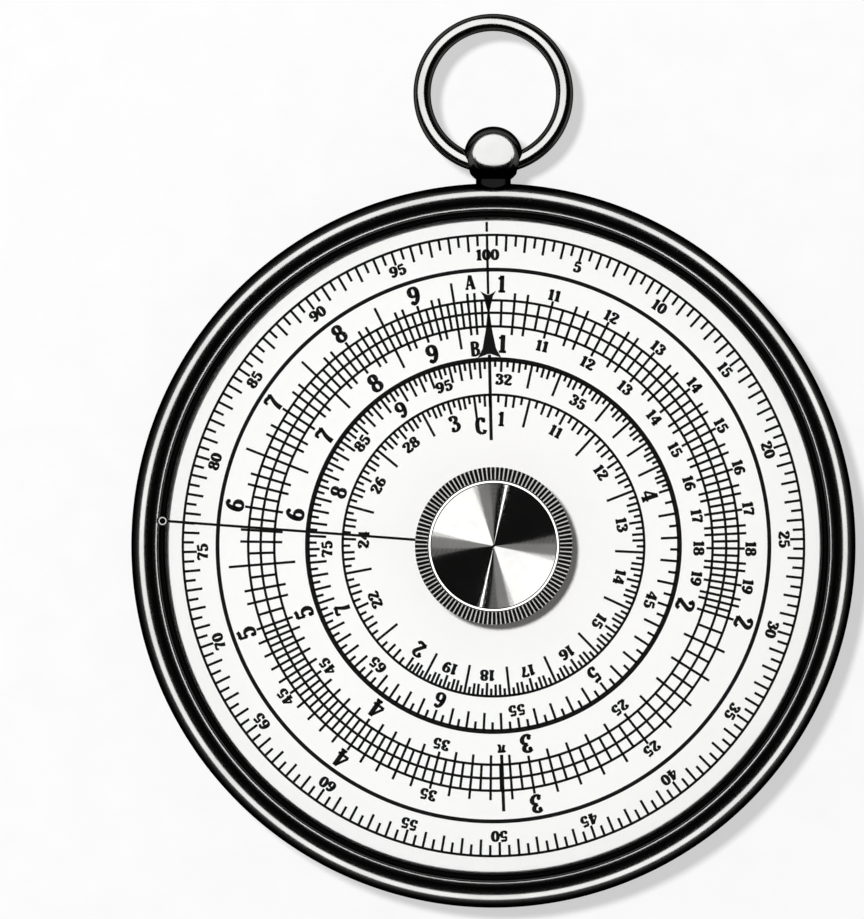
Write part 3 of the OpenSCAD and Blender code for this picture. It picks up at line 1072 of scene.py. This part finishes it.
def cube_root_rings(bm):
    """The back's own scale: three times round for cube roots, from the inside out."""
    long, medium, short, at_number = 1.25, 1.0, 0.62, 1.12
    fives = [long, short, medium, medium, short]
    first_lap, second_lap = 10 ** (1 / 3), 10 ** (2 / 3)
    laps = [
        (CUBE_RING_R, (1, first_lap, 0.02, fives), range(11, 22)),
        (ROOT_RING_R, (first_lap, second_lap, 0.02, fives), range(22, 47, 2)),
        (HEAVY_RING_R, (second_lap, 10, 0.05, [long, short]), range(50, 100, 5)),
    ]
    for lap, (radius, span, tenths) in enumerate(laps):
        share_of = root_share(3, lap)
        ring_line(bm, radius)
        graduate(bm, [span], share_of, radius, INWARDS, tenths, at_number)
        number_scale(bm, tenths, share_of, radius - CUBE_SMALL_IN, radius - CUBE_LARGE_IN, ROOT_FIGURE)


def revolving_print(bm, rings, inner):
    """The inner logarithmic scale, the index and the root scale of one side."""
    log_scale(bm, REVOLVING_GRID_R, REVOLVING_R, INWARDS, pi_past=0.9)
    number_scale(bm, LOG_TENTHS, log_share, REVOLVING_SMALL_R, REVOLVING_LARGE_R, LARGE_FIGURE)
    figure(bm, "π", log_share(math.pi), PI_R, SMALL_FIGURE)
    letters(bm, "B", left=4.1, left_r=18.0, right=3.75, right_r=18.4, one_high=1.64)
    ring_line(bm, HEAVY_RING_R, HEAVY_RING_W)
    revolving_index(bm, inner)
    rings(bm)


def front_revolving_print(bm):
    revolving_print(bm, square_root_rings, FRONT_INDEX_END_R)


def back_revolving_print(bm):
    revolving_print(bm, cube_root_rings, BACK_INDEX_END_R)


REVOLVING_PRINTS = {"front": front_revolving_print, "back": back_revolving_print}


def dial_print(side):
    """The ink on the fixed card and on the revolving card of one side."""
    for name, body, draw in (
        ("fixed", "case", fixed_print),
        ("revolving", "revolving_dial", REVOLVING_PRINTS[side]),
    ):
        bm = bmesh.new()
        draw(bm)
        place_piece(f"{side}_{name}_print", bm, SIDES[side], body, INK, crease=50)


# Making the pieces

band = case_band()
ball = pendant()
bow = bow_ring()
bezels, studs, knobs = [], [], []
for side in SIDES:
    bezels.append(bezel(side))
    studs.append(nib(side))
    knobs.append(knob(side))
    dial_print(side)

for case in (SMALL_TYPE, LARGE_TYPE):
    for mesh in case.cast.values():
        bpy.data.meshes.remove(mesh)

# Solids that keep their own shape and get a finish
KEPT_NODES = {
    NICKEL: ["dial_clamp_ring"],
    BRASS: ["fixed_dial_plate", "revolving_plate", "hub", "hub_nut"],
    STEEL: ["front_snap_ring", "back_snap_ring", "front_glass_ring", "back_glass_ring"],
    CARD: ["front_fixed_dial", "back_fixed_dial", "front_revolving_dial", "back_revolving_dial"],
    FELT: ["front_knob_washer", "back_knob_washer"],
    CRYSTAL: ["front_glass", "back_glass"],
    INK: ["front_hairline", "back_hairline"],
}
for finish, nodes in KEPT_NODES.items():
    for node in nodes:
        mesh = frame["nodes"][node].data
        mesh.materials.clear()
        mesh.materials.append(finish)


# Floor, light and camera

# Places in the frame, in its pixels from the top left, and the camera that gives them
FRAME_PX = (864, 919)
DIAL_PX = (493.4, 545.5)
CASE_PX = 724
PX_PER_MM = CASE_PX / (2 * CASE_R)
LENS = 300
SENSOR = 36
CAMERA_X = (FRAME_PX[0] / 2 - DIAL_PX[0]) / PX_PER_MM
CAMERA_Y = (DIAL_PX[1] - FRAME_PX[1] / 2) / PX_PER_MM
CAMERA_Z = LENS / SENSOR * FRAME_PX[1] / PX_PER_MM + MIDDLE + CARD_Z

# Distances in metres, directions in degrees, light as radiance, and the floor's glow as a share
FLOOR_HALF = 8
FLOOR_GLOW = 0.6
CEILING_LIGHT, HORIZON_LIGHT = 0.03, 0.5
LAMP_DISTANCE, RING_DISTANCE = 1, 6
LIGHT_FROM, RAY_FROM, BALL_LIGHT_FROM = 138, 78, 90
KNOB_LAMP_TILT = 12
RING_RISE, KNOB_RING_RISE = (10, 29), (31, 62)
MAIN_LIGHT = 214
METAL_LIGHT = 13.5
KNOB_LIGHT, KNOB_SHADE, KNOB_RING_LIGHT, RAY_LIGHT = 7.5, 1.4, 2, 20

# The camera stands off the knob's axis, so the knob's lamps stand off it as far the other way
KNOB_LAMP_SHIFT = Vector((-CAMERA_X, -CAMERA_Y, 0)) * (LAMP_DISTANCE / CAMERA_Z)


def pale_floor():
    """A pale floor that keeps a light shadow."""
    finish, tree, shader = new_finish("pale floor")
    dull, bright = (0.92, 0.92, 0.92), (0.94, 0.94, 0.94)
    grain = noise(tree, size=4, detail=3)
    colour = between(tree, spread(tree, grain, 0, 1), dull, bright)
    tree.links.new(colour, shader.inputs["Base Color"])
    shader.inputs["Roughness"].default_value = 0.9
    shader.inputs["Specular IOR Level"].default_value = 0.1
    glow = add_node(tree, "ShaderNodeEmission", {"Strength": 1})
    tree.links.new(colour, glow.inputs["Color"])
    path = add_node(tree, "ShaderNodeLightPath")
    seen = path.outputs["Is Camera Ray"]
    for ray in ("Is Glossy Ray", "Is Transmission Ray"):
        either = add_node(tree, "ShaderNodeMath", operation="MAXIMUM")
        tree.links.new(seen, either.inputs[0])
        tree.links.new(path.outputs[ray], either.inputs[1])
        seen = either.outputs["Value"]
    mix = add_node(tree, "ShaderNodeMixShader")
    tree.links.new(spread(tree, seen, low=0, high=FLOOR_GLOW, start=0, stop=1), mix.inputs["Fac"])
    tree.links.new(shader.outputs["BSDF"], mix.inputs[1])
    tree.links.new(glow.outputs["Emission"], mix.inputs[2])
    tree.links.new(mix.outputs["Shader"], tree.nodes["Material Output"].inputs["Surface"])
    bm = bmesh.new()
    bmesh.ops.create_grid(bm, x_segments=2, y_segments=2, size=FLOOR_HALF)
    floor = new_object("floor", bm)
    floor.data.materials.append(finish)


def plain_room():
    """Soft light from all round, darkest overhead, where the glasses mirror it."""
    world = bpy.data.worlds.new("plain room")
    scene.world = world
    world.use_nodes = True
    tree = world.node_tree
    direction = add_node(tree, "ShaderNodeSeparateXYZ")
    tree.links.new(add_node(tree, "ShaderNodeTexCoord").outputs["Generated"], direction.inputs[0])
    level = spread(tree, direction.outputs["Z"], HORIZON_LIGHT, CEILING_LIGHT, start=0, stop=1)
    background = tree.nodes["Background"]
    background.inputs["Color"].default_value = (1, 1, 1, 1)
    tree.links.new(level, background.inputs["Strength"])


def light_only(lamp, pieces):
    """Lets a lamp show on these pieces alone."""
    lit = bpy.data.collections.new(f"lit by {lamp.name}")
    for piece in pieces:
        lit.objects.link(piece)
    lamp.light_linking.receiver_collection = lit


def no_shadow_from(lamp, pieces):
    """Keeps these pieces from casting a lamp's shadow."""
    unshaded = bpy.data.collections.new(f"no shadow of {lamp.name}")
    for piece in pieces:
        unshaded.objects.link(piece)
    for member in unshaded.collection_objects:
        member.light_linking.link_state = "EXCLUDE"
    lamp.light_linking.blocker_collection = unshaded


def sky_direction(azimuth, from_zenith):
    """A unit vector towards the sky, from its angles in degrees."""
    turn, tilt = math.radians(azimuth), math.radians(from_zenith)
    return Vector((math.sin(tilt) * math.cos(turn), math.sin(tilt) * math.sin(turn), math.cos(tilt)))


def light_ring(name, rises, radiance, pieces):
    """A wall of light all round, between two heights above the horizon, that shows on these pieces alone."""
    finish, tree, shader = new_finish(name)
    tree.nodes.remove(shader)
    glow = add_node(tree, "ShaderNodeEmission", {"Strength": radiance})
    tree.links.new(glow.outputs["Emission"], tree.nodes["Material Output"].inputs["Surface"])
    bm = bmesh.new()
    foot, top = (bm.verts.new(sky_direction(0, 90 - rise)) for rise in rises)
    edge = bm.edges.new((foot, top))
    bmesh.ops.spin(
        bm, geom=[foot, top, edge], cent=(0, 0, 0), axis=(0, 0, 1), angle=math.tau, steps=96, use_merge=True
    )
    bmesh.ops.scale(bm, vec=(RING_DISTANCE,) * 3, verts=bm.verts)
    ring = new_object(name, bm)
    ring.data.materials.append(finish)
    ring.visible_camera = False
    ring.visible_diffuse = False
    ring.visible_transmission = False
    ring.visible_shadow = False
    light_only(ring, pieces)


def soft_box(name, azimuth, from_zenith, wide, deep, radiance):
    """A soft lamp aimed at the dial."""
    lamp = bpy.data.lights.new(name, "AREA")
    lamp.shape = "RECTANGLE"
    lamp.size = wide
    lamp.size_y = deep
    lamp.energy = radiance * math.pi * wide * deep
    box = bpy.data.objects.new(name, lamp)
    scene.collection.objects.link(box)
    box.visible_camera = False
    towards = sky_direction(azimuth, from_zenith)
    box.location = towards * LAMP_DISTANCE
    box.rotation_euler = towards.to_track_quat("Z", "Y").to_euler()
    return box


def main_lamp():
    """Lights the dial. The glasses and the metal don't mirror it."""
    lamp = soft_box("main", LIGHT_FROM, from_zenith=18, wide=0.12, deep=0.12, radiance=MAIN_LIGHT)
    lamp.visible_glossy = False
    lamp.visible_transmission = False
    hairlines = [frame["nodes"][f"{side}_hairline"] for side in SIDES]
    no_shadow_from(lamp, bezels + studs + hairlines)


def metal_lamps():
    """Lamps for the metal alone: each shape of metal has its own, which the glasses don't mirror."""
    light_ring("light_ring", RING_RISE, METAL_LIGHT, [band, *studs, *knobs])
    light_ring("knob_ring", KNOB_RING_RISE, KNOB_RING_LIGHT, knobs)
    overhead = soft_box("overhead", 0, from_zenith=0, wide=0.26, deep=0.26, radiance=METAL_LIGHT)
    light_only(overhead, [band])
    for side in (0, 180):
        for name, azimuth, wide, deep, radiance in (
            ("fan", LIGHT_FROM, 0.21, 0.21, KNOB_LIGHT),
            ("shade", LIGHT_FROM, 0.31, 0.21, KNOB_SHADE),
            ("ray", RAY_FROM, 0.005, 0.2, RAY_LIGHT),
        ):
            lamp = soft_box(name, azimuth + side, KNOB_LAMP_TILT, wide, deep, radiance)
            lamp.location += KNOB_LAMP_SHIFT
            light_only(lamp, knobs)
    bow_light = soft_box("bow light", LIGHT_FROM, from_zenith=22, wide=1.35, deep=1.35, radiance=METAL_LIGHT)
    light_only(bow_light, [bow])
    ball_light = soft_box(
        "ball light", BALL_LIGHT_FROM, from_zenith=25, wide=40, deep=4.4, radiance=METAL_LIGHT
    )
    light_only(ball_light, [ball])


def camera_above():
    """A long lens that looks straight down."""
    lens = bpy.data.cameras.new("camera")
    lens.lens = LENS
    lens.sensor_width = SENSOR
    camera = bpy.data.objects.new("camera", lens)
    scene.collection.objects.link(camera)
    camera.location = Vector((CAMERA_X, CAMERA_Y, CAMERA_Z)) * MM
    scene.camera = camera


pale_floor()
plain_room()
main_lamp()
metal_lamps()
camera_above()
scene.view_settings.view_transform = "Standard"
